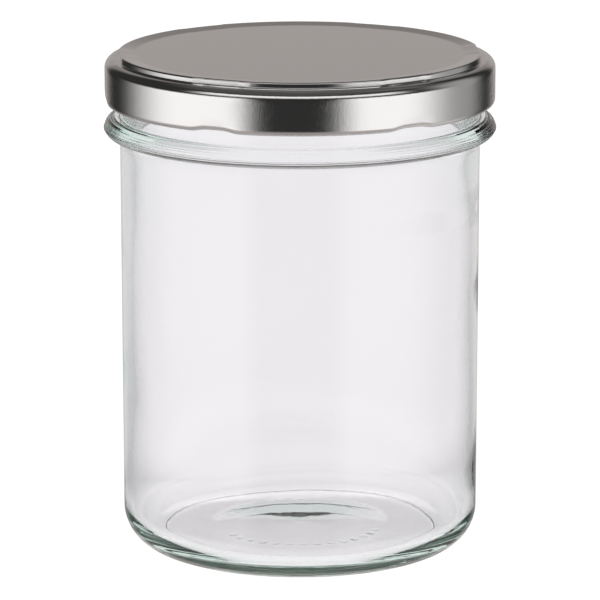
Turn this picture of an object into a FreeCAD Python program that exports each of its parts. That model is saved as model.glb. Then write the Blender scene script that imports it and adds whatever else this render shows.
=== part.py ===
"""Canning jar: a straight-sided glass jar, its twist-off tinplate lid and the lid's sealing ring.

Millimetres, +Z up. The origin is on the jar's axis, in the plane the jar stands on. Each of the
three pieces is a body: a profile turned about the axis. The glass neck also has thread ramps, and
the lid has lugs that hook under them. The lid's radii and heights follow from the neck it closes.
"""

import FreeCAD, Part
import math
import os

import Sketcher

DOC = FreeCAD.newDocument("CanningJar")
VECTOR = FreeCAD.Vector

# Driving dimensions: alias, value in millimetres (degrees where the name ends in _deg), meaning.
DIMENSIONS = [
    # glass
    ("jar_height", 108.2, "rim of the glass above the plane it stands on"),
    ("neck_radius", 39.5, "outside of the neck, and of the body just under the bead"),
    ("foot_draft", 0.3, "how much less the wall's outside radius is just above the heel"),
    ("heel_round", 8.8, "round between the wall and the bearing ring"),
    ("bearing_width", 0.8, "width of the flat ring the jar stands on"),
    ("push_up", 1.5, "rise of the underside from the bearing ring to the axis"),
    ("floor_level", 4.2, "inside floor, where it meets the corner round, above the bearing ring"),
    ("floor_crown", 0.7, "rise of the inside floor from that edge to the axis"),
    ("floor_round", 5.0, "round between the inside floor and the wall"),
    ("body_wall", 2.3, "wall just above the heel"),
    ("neck_wall", 3.5, "wall of the neck"),
    ("neck_depth", 18.7, "rim to the foot of the narrow inside of the neck"),
    ("bore_step", 12.0, "height over which the inside narrows to the neck"),
    ("bead_drop", 14.8, "rim to the middle of the bead"),
    ("bead_round", 3.4, "radius of the half-round bead"),
    ("bead_blend", 0.8, "hollow round where the bead meets the body and the neck"),
    ("rim_outer_round", 1.2, "outer round of the rim"),
    ("rim_inner_round", 1.4, "inner round of the rim"),
    # thread ramps and the lugs that hook under them
    ("thread_stand", 1.3, "how far a ramp stands out of the neck"),
    ("thread_sink", 0.7, "how far the ramp's section starts inside the neck"),
    ("thread_root", 2.1, "height of a ramp where it leaves the neck"),
    ("thread_crest", 1.1, "height of a ramp at its outer edge"),
    ("thread_rise", 3.0, "climb of a ramp from its low end to its high end"),
    ("thread_pitch", 20.8, "climb of the ramp's helix in one whole turn"),
    ("thread_gap", 0.1, "room between a lug and the ramp above it"),
    ("lug_count", 6, "lugs on the lid, and ramps on the neck"),
    ("lug_turn_deg", 64.5, "angle of the first lug from +X"),
    ("lug_width_deg", 16, "angle a lug takes up"),
    ("lug_height", 1.2, "height of a lug"),
    ("lug_lift", 0.4, "underside of a lug above the lid's lower edge"),
    ("lug_clear", 0.4, "room between a lug's nose and the neck"),
    ("lug_sink", 0.2, "how far a lug's root reaches into the curl's leg"),
    # lid
    ("lid_clear", 0.3, "room between the curl and the ramps"),
    ("lid_height", 11.1, "lid from its lower edge to its crest"),
    ("sheet", 0.25, "thickness of the tinplate"),
    ("curl_round", 0.85, "outer radius of the curl at the lower edge"),
    ("curl_leg", 0.9, "straight end of the curl above its round"),
    ("shoulder_round", 2.0, "round between the skirt and the ledge"),
    ("ledge_width", 2.9, "step to the outside of the skirt"),
    ("ledge_drop", 1.3, "ledge below the crest"),
    ("ledge_round", 0.35, "hollow round between the ledge and the step"),
    ("crest_round", 0.5, "round at the top of the step"),
    ("slope_width", 5.4, "crest to the edge of the flat panel"),
    ("panel_drop", 0.4, "flat panel below the crest"),
    # sealing ring
    ("seal_thick", 0.85, "compound between the rim and the underside of the ledge"),
    ("seal_overhang", 1.4, "how far the ring reaches inside the neck's bore"),
    ("seal_lip", 0.5, "thickness of the ring at its inner edge"),
]


class Size:
    """A length or an angle that knows its number and the sheet expression that gives it."""

    def __init__(self, text, value):
        self.text = text
        self.value = value

    def __add__(self, other):
        return Size("(%s + %s)" % (self.text, text_of(other)), self.value + value_of(other))

    def __sub__(self, other):
        return Size("(%s - %s)" % (self.text, text_of(other)), self.value - value_of(other))

    def __mul__(self, other):
        return Size("(%s * %s)" % (self.text, text_of(other)), self.value * value_of(other))

    def __truediv__(self, other):
        return Size("(%s / %s)" % (self.text, text_of(other)), self.value / value_of(other))


def value_of(thing):
    return thing.value if isinstance(thing, Size) else thing


def text_of(thing):
    return thing.text if isinstance(thing, Size) else str(thing)


class Sizes:
    """The driving dimensions, kept in a spreadsheet and read back as Size attributes."""

    def __init__(self, rows):
        sheet = DOC.addObject("Spreadsheet::Sheet", "Sizes")
        for row, (alias, value, meaning) in enumerate(rows, start=1):
            sheet.set("A%d" % row, alias)
            sheet.set("B%d" % row, str(value))
            sheet.setAlias("B%d" % row, alias)
            sheet.set("C%d" % row, meaning)
            setattr(self, alias, Size("Sizes." + alias, value))
        DOC.recompute()


S = Sizes(DIMENSIONS)
ZERO = Size("0", 0)

# Places that follow from the driving dimensions.
NECK_BORE = S.neck_radius - S.neck_wall
THREAD_EDGE = S.neck_radius + S.thread_stand
CURL_INSIDE = THREAD_EDGE + S.lid_clear
LID_RADIUS = CURL_INSIDE + S.curl_round * 2
SKIRT_INSIDE = LID_RADIUS - S.sheet
SHOULDER_R = LID_RADIUS - S.shoulder_round
STEP_R = LID_RADIUS - S.ledge_width
STEP_INSIDE = STEP_R - S.sheet
CREST_R = STEP_R - S.crest_round
HOLLOW_R = STEP_R + S.ledge_round
PANEL_R = CREST_R - S.slope_width

LEDGE_UNDER = S.jar_height + S.seal_thick
LEDGE = LEDGE_UNDER + S.sheet
SHOULDER_Z = LEDGE - S.shoulder_round
HOLLOW_Z = LEDGE + S.ledge_round
CREST = LEDGE + S.ledge_drop
CREST_UNDER = CREST - S.sheet
CREST_Z = CREST - S.crest_round
PANEL = CREST - S.panel_drop
PANEL_UNDER = PANEL - S.sheet
CURL_Z = CREST - S.lid_height + S.curl_round
LEG_TOP = CURL_Z + S.curl_leg
LUG_FOOT = CREST - S.lid_height + S.lug_lift
LUG_TOP = LUG_FOOT + S.lug_height
RAMP_FOOT = LUG_TOP + S.thread_gap


class Profile:
    """A closed outline in the upright plane through the axis: radius across, height up.

    Its corners, and the centres of its arcs, are held by expressions on the sheet.
    """

    def __init__(self, body, name, turn=None):
        self.sketch = body.newObject("Sketcher::SketchObject", name)
        plane = [f for f in body.Origin.OriginFeatures if f.Role == "XZ_Plane"][0]
        self.sketch.AttachmentSupport = [(plane, "")]
        self.sketch.MapMode = "FlatFace"
        if turn is not None:
            upright = FreeCAD.Rotation(VECTOR(0, 1, 0), turn.value)
            self.sketch.AttachmentOffset = FreeCAD.Placement(VECTOR(0, 0, 0), upright)
            self.sketch.setExpression("AttachmentOffset.Rotation.Angle", turn.text)
        self.corners = []
        self.edges = []

    def start(self, radius, height):
        self.corners.append((radius, height))

    def line(self, radius, height):
        self.edges.append(None)
        self.corners.append((radius, height))

    def arc(self, radius, height, centre, clockwise, held):
        """An arc to (radius, height); held says which coordinate of its centre is bound."""
        self.edges.append((centre, clockwise, held))
        self.corners.append((radius, height))

    def close(self, arc=None):
        """Return to the start by a line, or by an arc given as (centre, clockwise, held)."""
        self.edges.append(arc)
        ends = [self._draw(number) for number in range(len(self.edges))]
        for number, (_, last) in enumerate(ends):
            after = (number + 1) % len(ends)
            self._constrain("Coincident", number, last, after, ends[after][0])
        for number, (radius, height) in enumerate(self.corners):
            self._bind("DistanceX", number, ends[number][0], radius)
            self._bind("DistanceY", number, ends[number][0], height)
        for number, edge in enumerate(self.edges):
            if edge is not None:
                centre, _, held = edge
                if held == "radius":
                    self._bind("DistanceX", number, 3, centre[0])
                else:
                    self._bind("DistanceY", number, 3, centre[1])
        DOC.recompute()
        return self.sketch

    def _draw(self, number):
        """Draw one edge where it belongs; returns the sketch's numbers of its two ends."""
        start = self._point(self.corners[number])
        end = self._point(self.corners[(number + 1) % len(self.corners)])
        if self.edges[number] is None:
            self.sketch.addGeometry(Part.LineSegment(start, end))
            return 1, 2
        centre, clockwise, _ = self.edges[number]
        middle = self._point(centre)
        first, last = (end, start) if clockwise else (start, end)
        low = math.atan2(first.y - middle.y, first.x - middle.x)
        high = math.atan2(last.y - middle.y, last.x - middle.x)
        if high <= low:
            high += 2 * math.pi
        circle = Part.Circle(middle, VECTOR(0, 0, 1), (start - middle).Length)
        self.sketch.addGeometry(Part.ArcOfCircle(circle, low, high))
        return (2, 1) if clockwise else (1, 2)

    def _point(self, place):
        return VECTOR(place[0].value, place[1].value, 0)

    def _constrain(self, kind, *places):
        return self.sketch.addConstraint(Sketcher.Constraint(kind, *places))

    def _bind(self, kind, number, end, size):
        """Bind one coordinate of a point to the sheet, or lay the point on the sketch's own axis."""
        if size is ZERO:
            axis = -2 if kind == "DistanceX" else -1
            self._constrain("PointOnObject", number, end, axis)
            return
        constraint = self._constrain(kind, -1, 1, number, end, size.value)
        self.sketch.setExpression("Constraints[%d]" % constraint, size.text)


def new_body(name):
    body = DOC.addObject("PartDesign::Body", name)
    body.Label = name
    return body


def turned(body, name, sketch, angle=None):
    """Turn a sketch about the axis: all the way, or by an angle that its own plane halves."""
    feature = body.newObject("PartDesign::Revolution", name)
    feature.Profile = sketch
    feature.ReferenceAxis = (sketch, ["V_Axis"])
    feature.Angle = 360
    if angle is not None:
        feature.Midplane = True
        feature.setExpression("Angle", angle.text)
    DOC.recompute()
    return feature


def repeated(body, name, feature, sketch):
    """Repeat a feature round the axis, once for each lug."""
    pattern = body.newObject("PartDesign::PolarPattern", name)
    pattern.Originals = [feature]
    pattern.Axis = (sketch, ["V_Axis"])
    pattern.Angle = 360
    pattern.setExpression("Occurrences", S.lug_count.text)
    body.Tip = pattern
    DOC.recompute()


def circles_at(shape, places):
    """Names of the circular edges about the axis whose (radius, height) is in places."""
    names = []
    for number, edge in enumerate(shape.Edges, start=1):
        if not edge.Degenerated and isinstance(edge.Curve, Part.Circle):
            here = (edge.Curve.Radius, edge.Curve.Center.z)
            if any(math.dist(here, (r.value, z.value)) < 0.001 for r, z in places):
                names.append("Edge%d" % number)
    if len(names) != len(places):
        raise RuntimeError("found %d edges to round, not %d" % (len(names), len(places)))
    return names


def rounded(body, name, base, places, radius):
    """Round the circular edges at the places given."""
    fillet = body.newObject("PartDesign::Fillet", name)
    fillet.Base = (base, circles_at(base.Shape, places))
    fillet.setExpression("Radius", radius.text)
    body.Tip = fillet
    DOC.recompute()


def crown_centre(half_width, foot, rise):
    """Centre of the arc that is level on the axis at foot + rise and meets foot at half_width."""
    radius = (half_width * half_width + rise * rise) / (rise * 2)
    return ZERO, foot + rise - radius


def make_jar():
    """The glass: pushed-up base, heel, body, bead, neck and rim, and the thread ramps."""
    body = new_body("jar")
    foot_radius = S.neck_radius - S.foot_draft
    body_bore = foot_radius - S.body_wall
    bearing_out = foot_radius - S.heel_round
    bearing_in = bearing_out - S.bearing_width
    floor_edge = body_bore - S.floor_round
    floor_round_z = S.floor_level + S.floor_round
    bead_middle = S.jar_height - S.bead_drop
    bead_low = bead_middle - S.bead_round
    bead_high = bead_middle + S.bead_round
    neck_foot = S.jar_height - S.neck_depth
    rim_out = S.neck_radius - S.rim_outer_round
    rim_out_z = S.jar_height - S.rim_outer_round
    rim_in = NECK_BORE + S.rim_inner_round
    rim_in_z = S.jar_height - S.rim_inner_round
    under_centre = crown_centre(bearing_in, ZERO, S.push_up)
    floor_centre = crown_centre(floor_edge, S.floor_level, S.floor_crown)

    outline = Profile(body, "JarOutline")
    outline.start(ZERO, S.push_up)
    outline.arc(bearing_in, ZERO, under_centre, True, "radius")
    outline.line(bearing_out, ZERO)
    outline.arc(foot_radius, S.heel_round, (bearing_out, S.heel_round), False, "height")
    outline.line(S.neck_radius, bead_low)
    outline.arc(S.neck_radius, bead_high, (S.neck_radius, bead_middle), False, "radius")
    outline.line(S.neck_radius, rim_out_z)
    outline.arc(rim_out, S.jar_height, (rim_out, rim_out_z), False, "height")
    outline.line(rim_in, S.jar_height)
    outline.arc(NECK_BORE, rim_in_z, (rim_in, rim_in_z), False, "height")
    outline.line(NECK_BORE, neck_foot)
    outline.line(body_bore, neck_foot - S.bore_step)
    outline.line(body_bore, floor_round_z)
    outline.arc(floor_edge, S.floor_level, (floor_edge, floor_round_z), True, "height")
    outline.arc(ZERO, S.floor_level + S.floor_crown, floor_centre, False, "radius")
    wall = turned(body, "Wall", outline.close())
    bead_ends = [(S.neck_radius, bead_low), (S.neck_radius, bead_high)]
    rounded(body, "BeadBlend", wall, bead_ends, S.bead_blend)

    bevel = (S.thread_root - S.thread_crest) / 2
    ramp = Profile(body, "RampSection", S.lug_turn_deg - S.lug_width_deg / 2)
    ramp.start(S.neck_radius - S.thread_sink, RAMP_FOOT)
    ramp.line(S.neck_radius, RAMP_FOOT)
    ramp.line(THREAD_EDGE, RAMP_FOOT + bevel)
    ramp.line(THREAD_EDGE, RAMP_FOOT + bevel + S.thread_crest)
    ramp.line(S.neck_radius, RAMP_FOOT + S.thread_root)
    ramp.line(S.neck_radius - S.thread_sink, RAMP_FOOT + S.thread_root)
    section = ramp.close()
    helix = body.newObject("PartDesign::AdditiveHelix", "Ramp")
    helix.Profile = section
    helix.ReferenceAxis = (section, ["V_Axis"])
    helix.Mode = 0
    helix.setExpression("Pitch", S.thread_pitch.text)
    helix.setExpression("Height", S.thread_rise.text)
    DOC.recompute()
    repeated(body, "Ramps", helix, section)
    return body


def make_lid():
    """The tinplate lid: panel, crest, ledge, skirt and curl in one sheet, and the lugs."""
    body = new_body("lid")
    curl_centre = (LID_RADIUS - S.curl_round, CURL_Z)

    outline = Profile(body, "LidOutline")
    outline.start(ZERO, PANEL)
    outline.line(PANEL_R, PANEL)
    outline.line(CREST_R, CREST)
    outline.arc(STEP_R, CREST_Z, (CREST_R, CREST_Z), True, "height")
    outline.line(STEP_R, HOLLOW_Z)
    outline.arc(HOLLOW_R, LEDGE, (HOLLOW_R, HOLLOW_Z), False, "height")
    outline.line(SHOULDER_R, LEDGE)
    outline.arc(LID_RADIUS, SHOULDER_Z, (SHOULDER_R, SHOULDER_Z), True, "height")
    outline.line(LID_RADIUS, CURL_Z)
    outline.arc(CURL_INSIDE, CURL_Z, curl_centre, True, "height")
    outline.line(CURL_INSIDE, LEG_TOP)
    outline.line(CURL_INSIDE + S.sheet, LEG_TOP)
    outline.line(CURL_INSIDE + S.sheet, CURL_Z)
    outline.arc(SKIRT_INSIDE, CURL_Z, curl_centre, False, "height")
    outline.line(SKIRT_INSIDE, SHOULDER_Z)
    outline.arc(SHOULDER_R, LEDGE_UNDER, (SHOULDER_R, SHOULDER_Z), False, "height")
    outline.line(HOLLOW_R, LEDGE_UNDER)
    outline.arc(STEP_INSIDE, HOLLOW_Z, (HOLLOW_R, HOLLOW_Z), True, "height")
    outline.line(STEP_INSIDE, CREST_Z)
    outline.arc(CREST_R, CREST_UNDER, (CREST_R, CREST_Z), False, "height")
    outline.line(PANEL_R, PANEL_UNDER)
    outline.line(ZERO, PANEL_UNDER)
    turned(body, "Shell", outline.close())

    nose_round = S.lug_height / 2
    nose_r = S.neck_radius + S.lug_clear + nose_round
    lug = Profile(body, "LugSection", S.lug_turn_deg)
    lug.start(nose_r, LUG_FOOT)
    lug.line(CURL_INSIDE + S.lug_sink, LUG_FOOT)
    lug.line(CURL_INSIDE + S.lug_sink, LUG_TOP)
    lug.line(nose_r, LUG_TOP)
    section = lug.close(((nose_r, LUG_FOOT + nose_round), False, "radius"))
    repeated(body, "Lugs", turned(body, "Lug", section, S.lug_width_deg), section)
    return body


def make_seal():
    """The ring of sealing compound that fills the lid's channel and sits on the rim."""
    body = new_body("seal")
    inner = NECK_BORE - S.seal_overhang
    inner_top = PANEL_UNDER + (inner - PANEL_R) * S.panel_drop / S.slope_width

    outline = Profile(body, "SealOutline")
    outline.start(inner, inner_top)
    outline.line(CREST_R, CREST_UNDER)
    outline.arc(STEP_INSIDE, CREST_Z, (CREST_R, CREST_Z), True, "height")
    outline.line(STEP_INSIDE, HOLLOW_Z)
    outline.arc(HOLLOW_R, LEDGE_UNDER, (HOLLOW_R, HOLLOW_Z), False, "height")
    outline.line(SHOULDER_R, LEDGE_UNDER)
    outline.line(SHOULDER_R, S.jar_height)
    outline.line(NECK_BORE, S.jar_height)
    outline.line(inner, inner_top - S.seal_lip)
    turned(body, "Ring", outline.close())
    return body


def check_document():
    """Stop if any object of the document failed to compute."""
    for thing in DOC.Objects:
        if "Invalid" in thing.State or "Error" in thing.State:
            raise RuntimeError("%s is %s" % (thing.Label, thing.State))


def write(body):
    """Check one piece's shape and write it to its own file."""
    shape = body.Shape
    if shape.isNull() or not shape.isValid() or len(shape.Solids) != 1:
        raise RuntimeError("%s isn't one valid solid" % body.Label)
    shape.exportStep("parts/%s.step" % body.Label)
    box = shape.BoundBox
    size = (box.XLength, box.YLength, box.ZLength, shape.Volume / 1000)
    print(body.Label, "%.2f x %.2f x %.2f mm, %.2f cm3" % size)


PIECES = [make_jar(), make_lid(), make_seal()]
DOC.recompute()
check_document()
os.makedirs("parts", exist_ok=True)
for piece in PIECES:
    write(piece)
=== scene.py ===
"""Looks of a canning jar: clear glass, a tinplate twist-off lid and the ring of compound that seals it.

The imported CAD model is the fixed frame. Lengths are in millimetres up to the last step, where a
finished mesh is scaled to metres. The jar stands on Z = 0 on its own axis, and -Y is its front.
"""

import logging
import math
from collections.abc import Callable
from dataclasses import dataclass, field
from enum import Enum

import bpy
import numpy as np
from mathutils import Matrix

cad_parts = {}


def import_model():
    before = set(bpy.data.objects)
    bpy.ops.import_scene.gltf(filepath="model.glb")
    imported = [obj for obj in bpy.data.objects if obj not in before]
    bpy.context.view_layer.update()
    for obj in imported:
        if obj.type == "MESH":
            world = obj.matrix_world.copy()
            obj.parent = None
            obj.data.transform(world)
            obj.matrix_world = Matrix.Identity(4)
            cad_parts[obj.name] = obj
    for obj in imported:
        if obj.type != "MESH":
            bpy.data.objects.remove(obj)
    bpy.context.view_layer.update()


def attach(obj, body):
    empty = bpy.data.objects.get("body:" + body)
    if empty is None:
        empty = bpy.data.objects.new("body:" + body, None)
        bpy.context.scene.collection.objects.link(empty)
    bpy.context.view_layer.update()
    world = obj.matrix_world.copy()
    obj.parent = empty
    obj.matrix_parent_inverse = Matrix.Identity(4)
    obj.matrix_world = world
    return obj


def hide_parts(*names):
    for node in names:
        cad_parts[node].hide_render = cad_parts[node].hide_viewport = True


LOG = logging.getLogger("canning_jar")
MM = 0.001
BODY = "root"
INNER_SIDE = "inner_side"
FULL_TURN = 360.0

# Points closer together than this are one point, and a radius under this is on the axis.
SAME_POINT = 1e-4
ON_AXIS = 1e-6

# Distances between points of a nearly level stretch, where it carries relief and where it is plain.
FINE = 0.3
COARSE = 0.8

Colour = tuple[float, float, float]


def smooth(share: float | np.ndarray) -> float | np.ndarray:
    """Eases a share of the way, so that it starts and ends gently."""
    return share * share * (3 - 2 * share)


# ---------------------------------------------------------------- turned surfaces


class Run(Enum):
    """The stretch of a turned piece that a point of its outline lies on."""

    UNDERSIDE = 0
    OUTSIDE = 1
    TOP = 2
    INSIDE = 3
    FLOOR = 4


@dataclass
class Outline:
    """A line in the half plane of radius and height, drawn stretch by stretch."""

    run: Run = Run.OUTSIDE
    points: list[tuple[float, float]] = field(default_factory=list)
    runs: list[Run] = field(default_factory=list)

    def add(self, radius: float, height: float) -> None:
        """Adds one point, unless the outline is there already.

        Args:
            radius: of the point.
            height: of the point.
        """
        if not self.points or math.dist(self.points[-1], (radius, height)) >= SAME_POINT:
            self.points.append((radius, height))
            self.runs.append(self.run)

    def line(self, radius: float, height: float, step: float = 1.0) -> "Outline":
        """Runs straight to a point.

        Args:
            radius: radius of the end.
            height: height of the end.
            step: greatest distance between points on the way.

        Returns:
            The outline itself.
        """
        if not self.points:
            self.add(radius, height)
            return self
        start = np.array(self.points[-1])
        end = np.array((radius, height))
        count = max(1, math.ceil(float(np.linalg.norm(end - start)) / step))
        for part in range(1, count + 1):
            self.add(*(start + (end - start) * part / count))
        return self

    def arc(
        self, centre: tuple[float, float], size: float, start: float, end: float, step: float
    ) -> "Outline":
        """Runs round part of a circle.

        Args:
            centre: radius and height of the circle's centre.
            size: the circle's own radius.
            start: angle of the first point in degrees, 0 outwards and 90 upwards.
            end: angle of the last point.
            step: greatest distance between points on the way.

        Returns:
            The outline itself.
        """
        count = max(2, math.ceil(math.radians(abs(end - start)) * size / step))
        for part in range(count + 1):
            angle = math.radians(start + (end - start) * part / count)
            self.add(centre[0] + size * math.cos(angle), centre[1] + size * math.sin(angle))
        return self

    def shape(self, rule: Callable[[float], float], start: float, end: float, step: float) -> "Outline":
        """Follows a height that is given as a rule of the radius.

        Args:
            rule: gives the height at a radius.
            start: first radius.
            end: last radius.
            step: greatest distance between points, along the radius.

        Returns:
            The outline itself.
        """
        count = max(2, math.ceil(abs(end - start) / step))
        for part in range(count + 1):
            radius = start + (end - start) * part / count
            self.add(radius, rule(radius))
        return self

    def curve(self, rule: Callable[[float], tuple[float, float]], parts: int) -> "Outline":
        """Follows points that are given as a rule of the share of the way.

        Args:
            rule: gives the radius and height at a share from 0 to 1.
            parts: number of equal steps.

        Returns:
            The outline itself.
        """
        for part in range(1, parts + 1):
            self.add(*rule(part / parts))
        return self

    def sheet(self, thickness: float) -> "Outline":
        """Gives an open line the thickness of a sheet, on the side that lies to its right.

        Args:
            thickness: of the sheet.

        Returns:
            A new outline that runs out along the line and back along its other side.
        """
        line = np.array(self.points)
        along = np.gradient(line, axis=0)
        along /= np.linalg.norm(along, axis=1, keepdims=True)
        back = line + thickness * np.stack((along[:, 1], -along[:, 0]), axis=1)
        back[line[:, 0] < ON_AXIS, 0] = 0.0
        closed = Outline()
        closed.points = [tuple(point) for point in np.vstack((line, back[::-1]))]
        closed.runs = [Run.OUTSIDE] * len(line) + [Run.INSIDE] * len(line)
        return closed


@dataclass
class Grid:
    """Every point of a turned surface, as rings of radius, height and angle."""

    radius: np.ndarray
    height: np.ndarray
    angle: np.ndarray
    runs: list[Run]

    def on(self, *runs: Run) -> np.ndarray:
        """A column of ones for the rings of those runs, and noughts for the others."""
        return np.array([[float(run in runs)] for run in self.runs])


def turned(
    name: str, outline: Outline, segments: int, reshape: Callable[[Grid], None] | None = None
) -> bpy.types.Object:
    """Turns an outline about the Z axis into a closed, smooth mesh whose faces point outwards.

    Args:
        name: of the new object.
        outline: an outline with both ends on the axis, or one that comes round to its start.
        segments: number of steps round the axis.
        reshape: changes the grid of points before the mesh is made.

    Returns:
        The object, in metres, at the origin.
    """
    points = np.array(outline.points)
    poles = points[0, 0] < ON_AXIS and points[-1, 0] < ON_AXIS
    rings = points[1:-1] if poles else points
    angle = np.arange(segments) * 2 * math.pi / segments
    grid = Grid(
        np.repeat(rings[:, :1], segments, axis=1),
        np.repeat(rings[:, 1:], segments, axis=1),
        np.repeat(angle[None, :], len(rings), axis=0),
        outline.runs[1:-1] if poles else outline.runs,
    )
    if reshape:
        reshape(grid)
    xyz = np.stack(
        (grid.radius * np.cos(grid.angle), grid.radius * np.sin(grid.angle), grid.height), axis=2
    ).reshape(-1, 3)
    index = np.arange(len(rings) * segments).reshape(len(rings), segments)
    near = index if not poles else index[:-1]
    far = np.roll(index, -1, axis=0) if not poles else index[1:]
    quads = np.stack((near, far, np.roll(far, -1, axis=1), np.roll(near, -1, axis=1)), axis=2)
    faces = quads.reshape(-1, 4).tolist()
    if poles:
        first, last = len(xyz), len(xyz) + 1
        xyz = np.vstack((xyz, (0, 0, points[0, 1]), (0, 0, points[-1, 1])))
        after = np.roll(index, -1, axis=1)
        faces += [(first, int(a), int(b)) for a, b in zip(index[0], after[0])]
        faces += [(last, int(b), int(a)) for a, b in zip(index[-1], after[-1])]
    if enclosed(xyz, faces) < 0:
        faces = [tuple(reversed(face)) for face in faces]
    mesh = bpy.data.meshes.new(name)
    mesh.from_pydata((xyz * MM).tolist(), [], faces)
    inner = np.repeat([float(run is Run.INSIDE) for run in grid.runs], segments)
    inner = np.append(inner, (0.0, float(outline.runs[-1] is Run.INSIDE))) if poles else inner
    mesh.attributes.new(INNER_SIDE, "FLOAT", "POINT").data.foreach_set("value", inner)
    mesh.shade_smooth()
    mesh.update()
    obj = bpy.data.objects.new(name, mesh)
    bpy.context.scene.collection.objects.link(obj)
    return obj


def enclosed(xyz: np.ndarray, faces: list) -> float:
    """The volume inside a closed mesh.

    Args:
        xyz: its points.
        faces: its faces of three or four corners.

    Returns:
        The volume, negative where the faces point inwards.
    """
    total = 0.0
    for corners in (4, 3):
        flat = np.array([face for face in faces if len(face) == corners])
        if len(flat):
            for second in range(1, corners - 1):
                a, b, c = xyz[flat[:, 0]], xyz[flat[:, second]], xyz[flat[:, second + 1]]
                total += float(np.einsum("ij,ij->i", a, np.cross(b, c)).sum()) / 6
    return total


def settle(obj: bpy.types.Object) -> None:
    """Turns what an object's modifiers make of it into its own plain mesh.

    Args:
        obj: the object, which is left with no modifiers.
    """
    shape = obj.evaluated_get(bpy.context.evaluated_depsgraph_get())
    mesh = bpy.data.meshes.new_from_object(shape)
    obj.modifiers.clear()
    old, obj.data = obj.data, mesh
    bpy.data.meshes.remove(old)
    mesh.name = obj.name


# ---------------------------------------------------------------- node trees


class Way(Enum):
    """How a value goes from one end of a range to the other."""

    STRAIGHT = "LINEAR"
    SMOOTH = "SMOOTHERSTEP"


@dataclass(frozen=True)
class Wire:
    """A value on its way through a node tree, which takes part in plain arithmetic."""

    tree: "Tree"
    socket: bpy.types.NodeSocket

    def __add__(self, other: "Wire | float") -> "Wire":
        """Sum."""
        return self.tree.math("ADD", self, other)

    def __sub__(self, other: "Wire | float") -> "Wire":
        """Difference."""
        return self.tree.math("SUBTRACT", self, other)

    def __mul__(self, other: "Wire | float") -> "Wire":
        """Product."""
        return self.tree.math("MULTIPLY", self, other)

    def __truediv__(self, other: "Wire | float") -> "Wire":
        """Quotient."""
        return self.tree.math("DIVIDE", self, other)

    __radd__ = __add__
    __rmul__ = __mul__

    def __rsub__(self, other: float) -> "Wire":
        """Difference from a plain number."""
        return self.tree.math("SUBTRACT", other, self)

    def __rtruediv__(self, other: float) -> "Wire":
        """Quotient of a plain number."""
        return self.tree.math("DIVIDE", other, self)

    def mapped(self, way: Way, *ends: float) -> "Wire":
        """Takes the value from one range to another, and holds it beyond the ends.

        Args:
            way: how it goes from one end to the other.
            ends: start and end of the value, then the results there.

        Returns:
            The result.
        """
        node = self.tree.node("ShaderNodeMapRange", interpolation_type=way.value)
        return self.tree.out(self.tree.feed(node, (self, *ends)))

    def fade(self, start: float, end: float, low: float = 0.0, high: float = 1.0) -> "Wire":
        """Goes smoothly from low to high as the value goes from start to end, and stays there."""
        return self.mapped(Way.SMOOTH, start, end, low, high)

    def ramp(self, start: float, end: float, low: float = 0.0, high: float = 1.0) -> "Wire":
        """Goes straight from low to high as the value goes from start to end, and stays there."""
        return self.mapped(Way.STRAIGHT, start, end, low, high)

    def hill(self, foot: float, top: float, end: float, last: float) -> "Wire":
        """Rises from 0 at foot to 1 at top, and falls from 1 at end to 0 at last."""
        return self.fade(foot, top) * self.fade(end, last, 1.0, 0.0)


@dataclass
class Tree:
    """A node tree under construction."""

    nodes: bpy.types.Nodes
    links: bpy.types.NodeLinks

    @classmethod
    def of(cls, tree: bpy.types.NodeTree) -> "Tree":
        """Wraps a Blender node tree."""
        return cls(tree.nodes, tree.links)

    def node(self, kind: str, **settings: object) -> bpy.types.Node:
        """Adds a node and sets its properties.

        Args:
            kind: Blender's name for that kind of node.
            settings: its properties by name.

        Returns:
            The node.
        """
        node = self.nodes.new(kind)
        for key, value in settings.items():
            setattr(node, key, value)
        return node

    def feed(self, node: bpy.types.Node, values: tuple | dict) -> bpy.types.Node:
        """Gives a node's inputs their values or their wires.

        Args:
            node: the node to feed.
            values: by the input's place or by its name, each a wire, a socket or a constant.

        Returns:
            The node itself.
        """
        pairs = values.items() if isinstance(values, dict) else enumerate(values)
        for key, value in pairs:
            if isinstance(value, Wire):
                self.links.new(value.socket, node.inputs[key])
            elif isinstance(value, bpy.types.NodeSocket):
                self.links.new(value, node.inputs[key])
            elif value is not None:
                node.inputs[key].default_value = value
        return node

    def math(self, operation: str, *values: Wire | float) -> Wire:
        """One step of arithmetic."""
        node = self.node("ShaderNodeMath", operation=operation)
        return self.out(self.feed(node, values))

    def split(self, value: Wire) -> tuple[Wire, Wire, Wire]:
        """The three parts of a vector."""
        node = self.feed(self.node("ShaderNodeSeparateXYZ"), (value,))
        return tuple(Wire(self, socket) for socket in node.outputs)

    def joined(self, *parts: Wire | float) -> Wire:
        """A vector of three parts."""
        return self.out(self.feed(self.node("ShaderNodeCombineXYZ"), parts))

    def out(self, node: bpy.types.Node, socket: int | str = 0) -> Wire:
        """The wire from one of a node's outputs."""
        return Wire(self, node.outputs[socket])


@dataclass(frozen=True)
class Spot:
    """A point that a moulding is about to move, in millimetres, with its direction in degrees."""

    tree: Tree
    size: dict[str, Wire]
    radius: Wire
    turn: Wire
    height: Wire

    def repeated(self, first: Wire, share: Wire) -> Wire:
        """Angle from the start of the repeat that the point lies in, with one start at first."""
        return self.tree.math("MODULO", self.turn + (2 * FULL_TURN - first), share)


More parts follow.
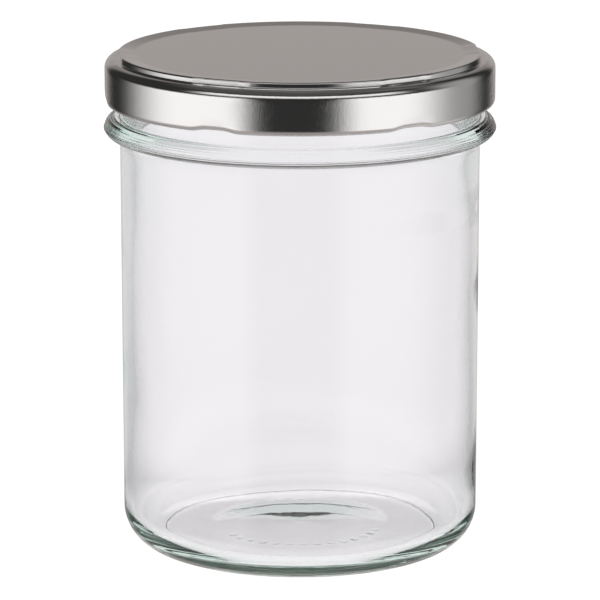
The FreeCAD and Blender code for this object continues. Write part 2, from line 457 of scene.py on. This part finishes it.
@dataclass
class Moulding:
    """A Geometry Nodes tree that moves a mesh's own points by a rule and gives it its material.

    Its named inputs are the rule's sizes. The tree hands every point to the rule, and takes back how
    far the point goes outwards and upwards in millimetres.
    """

    name: str
    sizes: dict[str, float]
    rule: Callable[[Spot], tuple[Wire | float, Wire | float]]

    def press(self, obj: bpy.types.Object, material: bpy.types.Material) -> None:
        """Builds the tree, runs it on an object and keeps the result as a plain mesh.

        Args:
            obj: the object to reshape.
            material: the finish that the mesh leaves the tree with.
        """
        group = bpy.data.node_groups.new(self.name, "GeometryNodeTree")
        face = group.interface
        face.new_socket("Geometry", in_out="INPUT", socket_type="NodeSocketGeometry")
        face.new_socket("Geometry", in_out="OUTPUT", socket_type="NodeSocketGeometry")
        keys = {}
        for name, value in self.sizes.items():
            socket = face.new_socket(name, in_out="INPUT", socket_type="NodeSocketFloat")
            socket.default_value = value
            keys[socket.identifier] = value
        tree = Tree.of(group)
        entry = tree.node("NodeGroupInput")
        inputs = {name: tree.out(entry, name) for name in self.sizes}
        place = tree.out(tree.node("GeometryNodeInputPosition"))
        x, y, z = tree.split(place)
        radius = tree.math("SQRT", x * x + y * y)
        turn = tree.math("DEGREES", tree.math("ARCTAN2", y, x)) + FULL_TURN
        turn = tree.math("MODULO", turn, FULL_TURN)
        outwards, upwards = self.rule(Spot(tree, inputs, radius / MM, turn, z / MM))
        scale = tree.math("MULTIPLY", outwards, MM) / tree.math("MAXIMUM", radius, ON_AXIS * MM)
        offset = tree.joined(x * scale, y * scale, tree.math("MULTIPLY", upwards, MM))
        moved = tree.node("GeometryNodeSetPosition")
        tree.feed(moved, {"Geometry": entry.outputs[0], "Offset": offset})
        real = tree.feed(tree.node("GeometryNodeRealizeInstances"), {"Geometry": moved.outputs[0]})
        dressed = tree.node("GeometryNodeSetMaterial")
        tree.feed(dressed, {"Geometry": real.outputs[0], "Material": material})
        tree.feed(tree.node("NodeGroupOutput"), (tree.out(dressed),))
        modifier = obj.modifiers.new(self.name, "NODES")
        modifier.node_group = group
        for key, value in keys.items():
            modifier[key] = value
        settle(obj)


# ---------------------------------------------------------------- finishes


@dataclass(frozen=True)
class Grain:
    """The fine unevenness that all the finishes share, as one shader group."""

    name: str = "fine_grain"

    def group(self) -> bpy.types.NodeTree:
        """The group, built the first time that a finish asks for it.

        Returns:
            A group with inputs Size, Stretch and Cloud Size, and outputs Height and Cloud.
        """
        if self.name in bpy.data.node_groups:
            return bpy.data.node_groups[self.name]
        group = bpy.data.node_groups.new(self.name, "ShaderNodeTree")
        for label, default in (("Size", 1.0), ("Stretch", 1.0), ("Cloud Size", 20.0)):
            socket = group.interface.new_socket(label, in_out="INPUT", socket_type="NodeSocketFloat")
            socket.default_value = default
        for label in ("Height", "Cloud"):
            group.interface.new_socket(label, in_out="OUTPUT", socket_type="NodeSocketFloat")
        tree = Tree.of(group)
        entry = tree.node("NodeGroupInput")
        size, stretch, cloud_size = (tree.out(entry, number) for number in range(3))
        place = tree.out(tree.node("ShaderNodeTexCoord"), "Object")
        x, y, z = tree.split(place)
        drawn = tree.joined(x / stretch, y, z / stretch)
        fine = tree.node("ShaderNodeTexNoise")
        tree.feed(fine, {"Vector": drawn, "Scale": 1.0 / MM / size, "Detail": 3.0, "Roughness": 0.6})
        cloud = tree.node("ShaderNodeTexNoise")
        tree.feed(cloud, {"Vector": place, "Scale": 1.0 / MM / cloud_size, "Detail": 2.0})
        tree.feed(tree.node("NodeGroupOutput"), (tree.out(fine) - 0.5, tree.out(cloud)))
        return group

    def use(self, tree: Tree, size: float, stretch: float, cloud: float) -> tuple[Wire, Wire]:
        """Puts the group into a material.

        Args:
            tree: the material's tree.
            size: of the grain in millimetres.
            stretch: how much longer than wide the grain is.
            cloud: size of the slow changes in millimetres.

        Returns:
            The grain's height from -0.5 to 0.5, and the slow changes from 0 to 1.
        """
        node = tree.node("ShaderNodeGroup", node_tree=self.group())
        tree.feed(node, {"Size": size, "Stretch": stretch, "Cloud Size": cloud})
        return tree.out(node, "Height"), tree.out(node, "Cloud")


def blank(name: str) -> tuple[bpy.types.Material, Tree, bpy.types.Node]:
    """A new material with nothing but its output.

    Args:
        name: of the material.

    Returns:
        The material, its tree and its output node.
    """
    material = bpy.data.materials.new(name)
    material.use_nodes = True
    material.node_tree.nodes.clear()
    tree = Tree.of(material.node_tree)
    return material, tree, tree.node("ShaderNodeOutputMaterial")


def tone(tree: Tree, amount: Wire, low: Wire | Colour, high: Wire | Colour) -> Wire:
    """A colour between two others.

    Args:
        tree: the tree to add the mix to.
        amount: 0 for the first colour and 1 for the second.
        low: first colour.
        high: second colour.

    Returns:
        The mixed colour.
    """
    node = tree.node("ShaderNodeMix", data_type="RGBA")
    first, second = (one if isinstance(one, Wire) else (*one, 1.0) for one in (low, high))
    tree.feed(node, {0: amount, 6: first, 7: second})
    return tree.out(node, 2)


def bumped(tree: Tree, height: Wire, strength: float, distance: float) -> Wire:
    """A normal that follows a height.

    Args:
        tree: the material's tree.
        height: the height to follow.
        strength: how much of it shows.
        distance: how high a height of 1 is, in millimetres.

    Returns:
        The normal.
    """
    node = tree.node("ShaderNodeBump")
    tree.feed(node, {"Strength": strength, "Distance": distance * MM, "Height": height})
    return tree.out(node)


@dataclass(frozen=True)
class ClearGlass:
    """Soda-lime glass, fire-polished, with a green cast where it is thick."""

    ior: float = 1.52
    clear: Colour = (0.945, 0.923, 0.945)
    faint: Colour = (0.955, 0.941, 0.955)
    cast: Colour = (0.72, 0.92, 0.84)
    density: float = 14.0
    unevenness: float = 0.02

    def make(self) -> bpy.types.Material:
        """Builds the material.

        Returns:
            The glass, clear on its faces and tinted by its thickness.
        """
        material, tree, output = blank("clear_glass")
        height, cloud = Grain().use(tree, size=9.0, stretch=1.0, cloud=30.0)
        shader = tree.node("ShaderNodeBsdfPrincipled")
        tree.feed(
            shader,
            {
                "Base Color": tone(tree, cloud, self.clear, self.faint),
                "Roughness": 0.0,
                "Metallic": 0.0,
                "IOR": self.ior,
                "Transmission Weight": 1.0,
                "Normal": bumped(tree, height, 1.0, self.unevenness),
            },
        )
        inside = tree.node("ShaderNodeVolumeAbsorption")
        tree.feed(inside, {"Color": (*self.cast, 1.0), "Density": self.density})
        tree.feed(output, {"Surface": shader.outputs[0], "Volume": inside.outputs[0]})
        return material


@dataclass(frozen=True)
class Tinplate:
    """Lacquered tinplate with a fine rolled grain."""

    dark: Colour = (0.83, 0.81, 0.795)
    light: Colour = (0.87, 0.855, 0.845)
    lacquer: Colour = (0.90, 0.89, 0.87)
    roughness: float = 0.09
    clouding: float = 0.04
    lacquer_roughness: float = 0.2
    grain: float = 0.2
    grain_depth: float = 0.028
    skirt_top: float = 106.0
    panel_foot: float = 108.5
    panel_grain: float = 0.25

    def make(self) -> bpy.types.Material:
        """Builds the material.

        Returns:
            Bare tin outside, grained on the skirt and smoother on the panel, and lacquered inside.
        """
        material, tree, output = blank("tinplate")
        height, cloud = Grain().use(tree, size=self.grain, stretch=1.3, cloud=14.0)
        inner = tree.out(tree.node("ShaderNodeAttribute", attribute_name=INNER_SIDE), "Fac")
        z = tree.split(tree.out(tree.node("ShaderNodeTexCoord"), "Object"))[2] / MM
        drawn = z.fade(self.skirt_top, self.panel_foot, 1.0, self.panel_grain)
        shader = tree.node("ShaderNodeBsdfPrincipled")
        tree.feed(
            shader,
            {
                "Base Color": tone(tree, inner, tone(tree, cloud, self.dark, self.light), self.lacquer),
                "Roughness": cloud * self.clouding + inner * self.lacquer_roughness + self.roughness,
                "Metallic": 1.0 - inner,
                "Normal": bumped(tree, height * drawn, 1.0, self.grain_depth),
            },
        )
        tree.feed(output, {"Surface": shader.outputs[0]})
        return material


@dataclass(frozen=True)
class Compound:
    """Off-white sealing compound, satin and slightly uneven."""

    pale: Colour = (0.84, 0.82, 0.77)
    deep: Colour = (0.78, 0.75, 0.69)
    roughness: float = 0.42
    clouding: float = 0.12
    unevenness: float = 0.05

    def make(self) -> bpy.types.Material:
        """Builds the material.

        Returns:
            The compound.
        """
        material, tree, output = blank("sealing_compound")
        height, cloud = Grain().use(tree, size=0.8, stretch=1.0, cloud=9.0)
        shader = tree.node("ShaderNodeBsdfPrincipled")
        tree.feed(
            shader,
            {
                "Base Color": tone(tree, cloud, self.deep, self.pale),
                "Roughness": cloud * self.clouding + self.roughness,
                "Normal": bumped(tree, height, 0.6, self.unevenness),
            },
        )
        tree.feed(output, {"Surface": shader.outputs[0]})
        return material


# ---------------------------------------------------------------- the jar


def dress(obj: bpy.types.Object, node: str) -> None:
    """Lets a finished piece stand for its CAD node.

    Args:
        obj: the piece.
        node: the CAD node that it replaces.
    """
    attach(obj, BODY)
    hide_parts(node)
    LOG.info("%s: %d faces", obj.name, len(obj.data.polygons))


@dataclass(frozen=True)
class Bulge:
    """A band of the inside wall that stands out or in on one side of the jar."""

    middle: float
    spread: float
    push: float

    def at(self, height: np.ndarray) -> np.ndarray:
        """How far the wall stands out at each height."""
        return self.push * np.exp(-(((height - self.middle) / self.spread) ** 2))


@dataclass(frozen=True)
class Seam:
    """A fine raised line along the bead, where two parts of the mould met."""

    angle: float
    tall: float


@dataclass
class GlassJar:
    """The glass: pushed-up base, rounded heel, straight body, bead, threaded neck and rim."""

    height: float = 108.2
    neck: float = 39.5
    foot: float = 39.2
    heel: float = 8.8
    bearing: float = 29.85
    recess: float = 0.3
    cone: float = 2.4
    cone_gain: float = 0.10
    cone_reach: float = 18.5
    cone_foot: float = 23.0
    cone_flattening: float = 0.9
    cone_tip: float = 1.2
    cone_step: float = 0.05
    bead_middle: float = 93.95
    bead_round: float = 2.6
    bead_squash: float = 0.68
    bead_centre: float = 40.3
    bead_blend: float = 0.12
    bead_points: int = 26
    seams: tuple[Seam, ...] = (
        Seam(-2.5, 0.16),
        Seam(4.5, 0.16),
        Seam(16.0, 0.10),
        Seam(28.0, 0.08),
        Seam(40.0, 0.08),
        Seam(63.0, 0.12),
        Seam(82.0, 0.10),
    )
    seam_width: float = 0.14
    seam_reach: float = 2.4
    seam_points: int = 9
    rim_outer: float = 1.2
    rim_inner: float = 1.4
    bore: float = 36.0
    inside: float = 36.9
    step_top: float = 87.4
    step_foot: float = 58.0
    step_points: int = 18
    thinner_left: float = 0.10
    thinner_right: float = 0.12
    left_wall: tuple[Bulge, ...] = (Bulge(32.0, 9.0, -0.38), Bulge(72.0, 12.0, -0.34))
    right_wall: tuple[Bulge, ...] = (Bulge(30.0, 14.0, 0.34), Bulge(70.0, 12.0, 0.36))
    ripple: float = 0.05
    even_ends: float = 14.0
    floor_level: float = 4.2
    floor_crown: float = 0.7
    floor_round: float = 5.0
    dash_ring: float = 17.5
    dash_width: float = 2.0
    dash_ceiling: float = 2.4
    segments: int = 264

    def outline(self) -> Outline:
        """The glass's section, from the middle of its underside round to the middle of its floor.

        Returns:
            The outline, with both ends on the axis.
        """
        line = Outline(Run.UNDERSIDE)
        self.underside(line)
        self.wall(line)
        self.rim(line)
        self.cavity(line)
        return line

    def underside(self, line: Outline) -> None:
        """Draws the pushed-up base, a cone that flattens outwards, and the ring that the jar stands on.

        Args:
            line: the glass's section, still empty.
        """
        radii = np.arange(0.0, self.bearing + self.cone_step, self.cone_step)
        slope = np.radians(self.cone + self.cone_gain * radii)
        slope *= np.minimum(1.0, radii / self.cone_tip)
        beyond = np.clip((radii - self.cone_reach) / (self.cone_foot - self.cone_reach), 0, 1)
        slope *= 1 - self.cone_flattening * smooth(beyond)
        drop = np.cumsum(slope) * self.cone_step
        height = self.recess + drop[-1] - drop

        def under(radius: float) -> float:
            """Height of the underside at a radius."""
            return float(np.interp(radius, radii, height))

        near, far = self.dash_ring - self.dash_width, self.dash_ring + self.dash_width
        line.shape(under, 0.0, 2 * self.cone_tip, FINE).shape(under, 2 * self.cone_tip, near, COARSE)
        line.shape(under, near, far, FINE).shape(under, far, self.bearing, COARSE)
        bend = self.recess / 2
        line.arc((self.bearing, bend), bend, 90, 0, step=0.06)
        line.arc((self.bearing + 2 * bend, bend), bend, 180, 270, step=0.06)
        line.line(self.foot - self.heel, 0.0, step=0.2)

    def wall(self, line: Outline) -> None:
        """Draws the outside: heel, body, bead and neck.

        Args:
            line: the glass's section so far, which ends on the bearing ring.
        """
        line.run = Run.OUTSIDE
        line.arc((self.foot - self.heel, self.heel), self.heel, -90, 0, step=0.5)
        out = self.neck + self.bead_blend - self.bead_centre
        span = math.sqrt((self.bead_round + self.bead_blend) ** 2 - out**2)
        edge = math.degrees(math.atan2(span, out))
        low, high = self.bead_middle - span * self.bead_squash, self.bead_middle + span
        line.line(self.neck, low, step=3.6)
        line.arc((self.neck + self.bead_blend, low), self.bead_blend, 180, 180 - edge, step=0.22)
        self.bead(line, edge)
        line.arc((self.neck + self.bead_blend, high), self.bead_blend, 180 + edge, 180, step=0.22)
        line.line(self.neck, self.height - self.rim_outer, step=0.3)

    def bead(self, line: Outline, edge: float) -> None:
        """Draws the bead, flatter below than above, with the fine seams along it.

        Args:
            line: the glass's section so far, which ends where the bead starts.
            edge: angle at which the bead meets its blends, in degrees.
        """
        width = math.degrees(self.seam_width / self.bead_round)
        reach = self.seam_reach * width
        angles = set(np.linspace(-edge, edge, self.bead_points).tolist())
        for seam in self.seams:
            angles.update(np.linspace(seam.angle - reach, seam.angle + reach, self.seam_points).tolist())
        for angle in sorted(one for one in angles if abs(one) <= edge):
            size = self.bead_round
            for seam in self.seams:
                size += seam.tall * math.exp(-(((angle - seam.angle) / width) ** 2))
            squash = self.bead_squash if angle < 0 else 1.0
            turn = math.radians(angle)
            line.add(
                self.bead_centre + size * math.cos(turn),
                self.bead_middle + size * squash * math.sin(turn),
            )

    def rim(self, line: Outline) -> None:
        """Draws the rounded rim.

        Args:
            line: the glass's section so far, which ends at the top of the neck.
        """
        line.run = Run.TOP
        corner = self.height - self.rim_outer
        line.arc((self.neck - self.rim_outer, corner), self.rim_outer, 0, 90, step=0.25)
        corner = self.height - self.rim_inner
        line.arc((self.bore + self.rim_inner, corner), self.rim_inner, 90, 180, step=0.25)

    def cavity(self, line: Outline) -> None:
        """Draws the inside: bore, spread-out step, wall and crowned floor.

        Args:
            line: the glass's section so far, which ends at the inside of the rim.
        """

        def step(share: float) -> tuple[float, float]:
            """A point on the step from the narrow bore to the wide inside."""
            radius = self.bore + (self.inside - self.bore) * smooth(share)
            return radius, self.step_top + (self.step_foot - self.step_top) * share

        line.run = Run.INSIDE
        line.line(self.bore, self.step_top, step=1.4).curve(step, self.step_points)
        bend = self.floor_level + self.floor_round
        edge = self.inside - self.floor_round
        line.line(self.inside, bend, step=3.0)
        line.arc((edge, bend), self.floor_round, 0, -90, step=0.5)

        def crown(radius: float) -> float:
            """Height of the floor at a radius."""
            return self.floor_level + self.floor_crown * (1 - (radius / edge) ** 2) ** 2

        line.run = Run.FLOOR
        line.shape(crown, edge, 0.0, COARSE)

    def uneven(self, grid: Grid) -> None:
        """Blows the inside wall a little unevenly, as in real pressed and blown glass.

        Args:
            grid: the glass's points, whose radii change.
        """
        height, angle = grid.height, grid.angle
        side = (1 + np.cos(angle)) / 2
        left = self.thinner_left + sum(bulge.at(height) for bulge in self.left_wall)
        right = self.thinner_right + sum(bulge.at(height) for bulge in self.right_wall)
        slow = self.ripple * np.sin(3 * angle + height / 11) * np.cos(height / 17)
        fade = np.clip((self.step_top - height) / self.even_ends, 0, 1)
        fade *= np.clip((height - self.floor_level - 4) / self.even_ends, 0, 1)
        push = left * (1 - side) + right * side + slow
        grid.radius += push * smooth(fade) * grid.on(Run.INSIDE)

    def ramps(self) -> Moulding:
        """The thread ramps round the neck.

        Returns:
            The moulding that raises them.
        """
        sizes = {
            "Count": 6.0,
            "Start": 356.5,
            "Span": 51.9,
            "Foot": 101.2,
            "Lowest": 99.0,
            "Rise": 3.0,
            "Stand": 1.3,
            "Root": 2.1,
            "Crest": 1.1,
            "Neck": self.neck,
        }

        def rule(spot: Spot) -> tuple[Wire, float]:
            """Raises the neck's skin where a ramp runs across it.

            Args:
                spot: the point to move.

            Returns:
                How far the point goes outwards and upwards.
            """
            size = spot.size
            along = spot.repeated(size["Start"], FULL_TURN / size["Count"]) / size["Span"]
            across = spot.height - size["Foot"] - size["Rise"] * along
            slope = (size["Root"] - size["Crest"]) / 2
            flanks = (across / slope).fade(0.0, 1.0) * ((size["Root"] - across) / slope).fade(0.0, 1.0)
            ends = along.fade(0.0, 0.07) * along.fade(0.9, 1.0, 1.0, 0.0)
            skin = (spot.radius - size["Neck"]).ramp(-0.3, -0.2)
            skin *= (spot.height - size["Lowest"]).ramp(0.0, 0.1)
            return size["Stand"] * flanks * ends * skin, 0.0

        return Moulding("thread_ramps", sizes, rule)

    def dashes(self) -> Moulding:
        """An arc of plain raised dashes under the base.

        Returns:
            The moulding that raises them.
        """
        sizes = {
            "Count": 36.0,
            "Ring": self.dash_ring,
            "Width": self.dash_width,
            "Share": 0.5,
            "Depth": 0.12,
            "From": 210.0,
            "To": 345.0,
            "Ceiling": self.dash_ceiling,
        }

        def rule(spot: Spot) -> tuple[float, Wire]:
            """Lowers the underside where a dash lies.

            Args:
                spot: the point to move.

            Returns:
                How far the point goes outwards and upwards.
            """
            tree, size, turn = spot.tree, spot.size, spot.turn
            off = tree.math("ABSOLUTE", spot.radius - size["Ring"]) / size["Width"]
            across = off.fade(0.28, 0.5, 1.0, 0.0)
            part = tree.math("MODULO", turn * size["Count"] / FULL_TURN, 1.0) / size["Share"]
            along = part.hill(0.0, 0.25, 0.75, 1.0)
            sector = tree.math("GREATER_THAN", turn, size["From"])
            sector *= tree.math("LESS_THAN", turn, size["To"])
            skin = (spot.height - size["Ceiling"]).ramp(0.0, 0.1, 1.0, 0.0)
            return 0.0, size["Depth"] * across * along * sector * skin * -1.0

        return Moulding("base_dashes", sizes, rule)

    def build(self, glass: bpy.types.Material) -> bpy.types.Object:
        """Makes the glass.

        Args:
            glass: its finish.

        Returns:
            The finished piece, riding on its body.
        """
        obj = turned("glass_jar", self.outline(), self.segments, self.uneven)
        self.ramps().press(obj, glass)
        self.dashes().press(obj, glass)
        dress(obj, "jar")
        return obj


@dataclass
class TwistLid:
    """The lid: flat panel, rounded crest, step and ledge, straight skirt, curl and lugs."""

    panel: float = 110.2
    panel_edge: float = 36.4
    panel_margin: float = 1.0
    crest: tuple[float, float] = (39.55, 110.25)
    crest_round: float = 0.35
    crest_margin: float = 0.3
    knee: float = 0.1
    ledge: float = 109.3
    ledge_round: float = 0.2
    shoulder: tuple[float, float] = (40.8, 107.3)
    shoulder_round: float = 2.0
    skirt: float = 42.8
    curl_height: float = 100.35
    curl_round: float = 0.85
    curl_tall: float = 1.25
    curl_leg: float = 0.9
    curl_points: int = 24
    sheet: float = 0.25
    segments: int = 264

    def outline(self) -> Outline:
        """The sheet's section: out along its upper side, round the curl and back underneath.

        Returns:
            The outline, with both ends on the axis.
        """
        start = self.panel_edge - self.panel_margin
        step = self.crest[0] + self.crest_round
        line = Outline()
        line.line(0.0, self.panel).line(start, self.panel, step=2.2)
        line.shape(self.slope, start, self.crest[0] - self.crest_margin, step=0.35)
        line.arc(self.crest, self.crest_round, 84, 0, step=0.12)
        hollow = (step + self.ledge_round, self.ledge + self.ledge_round)
        line.arc(hollow, self.ledge_round, 180, 270, step=0.09)
        line.line(self.shoulder[0], self.ledge, step=0.2)
        line.arc(self.shoulder, self.shoulder_round, 90, 0, step=0.16)
        line.line(self.skirt, self.curl_height + self.curl_tall - self.curl_round, step=0.5)
        line.curve(self.curl, self.curl_points)
        line.line(self.skirt - 2 * self.curl_round, self.curl_height + self.curl_leg, step=0.2)
        return line.sheet(self.sheet)

    def slope(self, radius: float) -> float:
        """Height of the upper side between the flat panel and the crest.

        Args:
            radius: where to take it.

        Returns:
            The height, which leaves the panel in a soft knee.
        """
        top = self.crest[1] + self.crest_round
        share = (radius - self.panel_edge) / (self.crest[0] - self.panel_edge)
        if share < self.knee:
            share = max(0.0, share + self.knee) ** 2 / (4 * self.knee)
        return self.panel + (top - self.panel) * min(1.0, share)

    def curl(self, share: float) -> tuple[float, float]:
        """A point on the curl, which is taller on its outer half.

        Args:
            share: how far round the curl it lies, from its outer end.

        Returns:
            The point's radius and height.
        """
        turn = math.pi * share
        tall = (self.curl_tall if share < 0.5 else self.curl_round) - self.curl_round
        radius = self.skirt - self.curl_round * (1 - math.cos(turn))
        drop = self.curl_round * math.sin(turn)
        return radius, self.curl_height - drop + tall * (1 - math.sin(turn))

    def lugs(self) -> Moulding:
        """The lugs, pressed inwards from the curl, and the shallow dents that they leave.

        Returns:
            The moulding that presses them.
        """
        sizes = {
            "Count": 6.0,
            "First": 4.5,
            "Half Width": 8.0,
            "Reach": 1.2,
            "Dent": 0.12,
            "Lift": 0.55,
            "Foot": self.curl_height - self.curl_round,
            "Inside": self.skirt - self.curl_round,
        }

        def rule(spot: Spot) -> tuple[Wire, Wire]:
            """Presses the curl inwards at a lug, and draws the skirt in and up beside it.

            Args:
                spot: the point to move.

            Returns:
                How far the point goes outwards and upwards.
            """
            tree, size = spot.tree, spot.size
            share = FULL_TURN / size["Count"]
            beside = spot.repeated(size["First"] - share / 2, share) - share / 2
            off = tree.math("ABSOLUTE", beside) / size["Half Width"]
            above = spot.height - size["Foot"]
            nose = (size["Inside"] - spot.radius).fade(-0.1, 0.8) * above.fade(0.0, 2.6, 1.0, 0.35)
            lug = off.fade(0.75, 1.15, 1.0, 0.0) * nose
            wave = off.fade(0.2, 1.1, 1.0, 0.0) * above.fade(0.0, 4.0, 1.0, 0.0)
            return lug * size["Reach"] * -1.0 - wave * size["Dent"], wave * size["Lift"]

        return Moulding("lid_lugs", sizes, rule)

    def build(self, tin: bpy.types.Material) -> bpy.types.Object:
        """Makes the lid.

        Args:
            tin: its finish.

        Returns:
            The finished piece, riding on its body.
        """
        obj = turned("twist_lid", self.outline(), self.segments)
        self.lugs().press(obj, tin)
        dress(obj, "lid")
        return obj


@dataclass
class SealRing:
    """The ring of compound between the rim and the lid's panel."""

    inner: float = 34.6
    outer: float = 40.8
    bottom: float = 108.2
    corner: float = 0.5
    outer_top: float = 108.9
    bevel_foot: tuple[float, float] = (39.5, 109.0)
    bevel_top: tuple[float, float] = (38.6, 109.8)
    inner_top: tuple[float, float] = (34.9636, 109.8455)
    segments: int = 240

    def outline(self) -> Outline:
        """The ring's section, round at its lower corners and bevelled like the lid above it.

        Returns:
            The outline, which comes round to its start.
        """
        bend = self.bottom + self.corner
        line = Outline(Run.UNDERSIDE)
        line.arc((self.inner + self.corner, bend), self.corner, 180, 270, step=0.15)
        line.line(self.outer - self.corner, self.bottom, step=0.3)
        line.arc((self.outer - self.corner, bend), self.corner, -90, 0, step=0.15)
        line.line(self.outer, self.outer_top, step=0.3)
        line.line(*self.bevel_foot, step=0.3).line(*self.bevel_top, step=0.3)
        return line.line(*self.inner_top, step=0.4)

    def build(self, compound: bpy.types.Material) -> bpy.types.Object:
        """Makes the ring.

        Args:
            compound: its finish.

        Returns:
            The finished piece, riding on its body.
        """
        obj = turned("seal_ring", self.outline(), self.segments)
        obj.data.materials.append(compound)
        dress(obj, "seal")
        return obj


# ---------------------------------------------------------------- the studio


@dataclass
class Studio:
    """A pale floor, soft light from all round and the camera.

    Lengths are in metres. Angles round the jar are in degrees, 0 towards the camera and positive to
    the right, and a card's four angles are where it starts, is full, starts to fade and has ended.
    """

    distance: float = 1.048
    eye: float = 0.2909
    pitch: float = 77.3
    lens: float = 291.2
    sensor: float = 36.0
    view_end: float = 100.0
    paper: float = 0.45
    paper_reach: float = 30.0
    paper_sides: int = 96
    paper_drop: float = 0.0002
    glow: float = 0.94
    front_glow: float = 0.66
    behind: tuple[float, float] = (128.0, 162.0)
    under: tuple[float, float] = (0.045, 0.11)
    left_card: tuple[float, ...] = (-138.0, -73.0, -42.0, -22.0)
    right_card: tuple[float, ...] = (15.0, 38.0, 62.0, 112.0)
    grey_card: tuple[float, ...] = (70.0, 110.0, 116.0, 140.0)
    card_glow: float = 1.08
    grey_glow: float = 0.30
    sweep_glow: float = 0.85
    strip_glow: float = 0.95
    back_glow: tuple[float, float] = (0.385, 0.20)
    table_glow: float = 0.31
    room_glow: tuple[float, float] = (0.028, 0.08)
    warmth: tuple[float, float] = (0.07, 0.10)
    bounces: int = 32

    def direction(self, tree: Tree, x: Wire, y: Wire) -> Wire:
        """Angle round the jar of a place or a direction."""
        return tree.math("DEGREES", tree.math("ARCTAN2", x, y * -1.0))

    def paper_sheet(self) -> bpy.types.Material:
        """Pale paper that glows softly, and a little less in front of the jar and beside it.

        Returns:
            The material, which is plain white where the camera sees it.
        """
        material, tree, output = blank("pale_paper")
        matt = tree.feed(tree.node("ShaderNodeBsdfDiffuse"), {"Color": (*(self.paper,) * 3, 1.0)})
        seen = tree.out(tree.node("ShaderNodeLightPath"), "Is Camera Ray")
        x, y, _ = tree.split(tree.out(tree.node("ShaderNodeTexCoord"), "Object"))
        away = tree.math("ABSOLUTE", self.direction(tree, x, y))
        near = tree.math("SQRT", x * x + y * y).fade(*self.under, 1.0, 0.0)
        lit = tree.math("MAXIMUM", away.fade(*self.behind, self.front_glow, 1.0), near) * self.glow
        light = tree.feed(tree.node("ShaderNodeEmission"), {"Strength": lit + (1.0 - lit) * seen})
        both = tree.feed(tree.node("ShaderNodeAddShader"), (matt.outputs[0], light.outputs[0]))
        tree.feed(output, {"Surface": both.outputs[0]})
        return material

    def floor(self) -> None:
        """A wide round sheet of pale paper, which is not part of the jar."""
        turns = np.arange(self.paper_sides) * 2 * math.pi / self.paper_sides
        ring = self.paper_reach * np.stack((np.cos(turns), np.sin(turns), 0 * turns), axis=1)
        mesh = bpy.data.meshes.new("floor")
        mesh.from_pydata(ring.tolist(), [], [tuple(range(self.paper_sides))])
        mesh.materials.append(self.paper_sheet())
        obj = bpy.data.objects.new("floor", mesh)
        bpy.context.scene.collection.objects.link(obj)
        obj.location.z = -self.paper_drop
        obj.visible_glossy = False

    def sky(self) -> None:
        """White cards to the left and right, a strip above, a grey back and a dark room."""
        world = bpy.data.worlds.new("studio")
        bpy.context.scene.world = world
        world.use_nodes = True
        world.node_tree.nodes.clear()
        tree = Tree.of(world.node_tree)
        x, y, z = tree.split(tree.out(tree.node("ShaderNodeTexCoord"), "Generated"))
        side = self.direction(tree, x, y)
        away = tree.math("ABSOLUTE", side)
        rise = tree.math("DEGREES", tree.math("ARCSINE", z))
        path = tree.node("ShaderNodeLightPath")
        seen, through = tree.out(path, "Is Camera Ray"), tree.out(path, "Is Transmission Ray")
        tall = rise.fade(-6.0, 6.0, self.card_glow, 0.0) * rise.fade(-36.0, -14.0, 0.08, 1.0)
        cards = (side.hill(*self.left_card) + side.hill(*self.right_card)) * tall
        cards += side.hill(*self.grey_card) * rise.fade(20.0, 50.0, self.grey_glow, 0.05)
        sweep = away.fade(95.0, 120.0) * rise.hill(-4.0, -2.0, 4.5, 8.8) * through * self.sweep_glow
        back = rise.ramp(9.0, 17.0, *self.back_glow) * rise.fade(17.0, 60.0, 1.0, 0.3)
        back *= away.fade(145.0, 165.0)
        strip = away.fade(50.0, 80.0, 1.0, 0.0) * rise.fade(8.0, 27.0)
        strip *= rise.fade(36.5, 42.0, self.strip_glow, 0.0)
        warm = back + rise.fade(-38.0, -13.0, self.table_glow, 0.0)
        room = rise.fade(40.0, 62.0, *self.room_glow)
        light = tree.math("MAXIMUM", cards, sweep) + warm + strip + room
        parts = (light, *(light - warm * less for less in self.warmth))
        colour = tree.joined(*(part + (1.0 - part) * seen for part in parts))
        ground = tree.feed(tree.node("ShaderNodeBackground"), {"Color": colour})
        tree.feed(tree.node("ShaderNodeOutputWorld"), {"Surface": ground.outputs[0]})

    def camera(self) -> None:
        """The camera, above the lid and looking down on the jar."""
        data = bpy.data.cameras.new("camera")
        data.lens = self.lens
        data.sensor_width = self.sensor
        data.clip_end = self.view_end
        obj = bpy.data.objects.new("camera", data)
        bpy.context.scene.collection.objects.link(obj)
        obj.location = (0.0, -self.distance, self.eye)
        obj.rotation_euler = (math.radians(self.pitch), 0.0, 0.0)
        bpy.context.scene.camera = obj

    def build(self) -> None:
        """Sets the whole studio up."""
        self.floor()
        self.sky()
        self.camera()
        scene = bpy.context.scene
        scene.view_settings.view_transform = "Standard"
        scene.cycles.use_denoising = True
        scene.cycles.max_bounces = self.bounces
        scene.cycles.glossy_bounces = self.bounces
        scene.cycles.transmission_bounces = self.bounces
        LOG.info("studio: floor, light and camera")


def main() -> None:
    """Builds the jar piece by piece around the frame."""
    logging.basicConfig(level=logging.INFO, format="%(name)s: %(message)s")
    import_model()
    GlassJar().build(ClearGlass().make())
    TwistLid().build(Tinplate().make())
    SealRing().build(Compound().make())
    Studio().build()


if __name__ == "__main__":
    main()
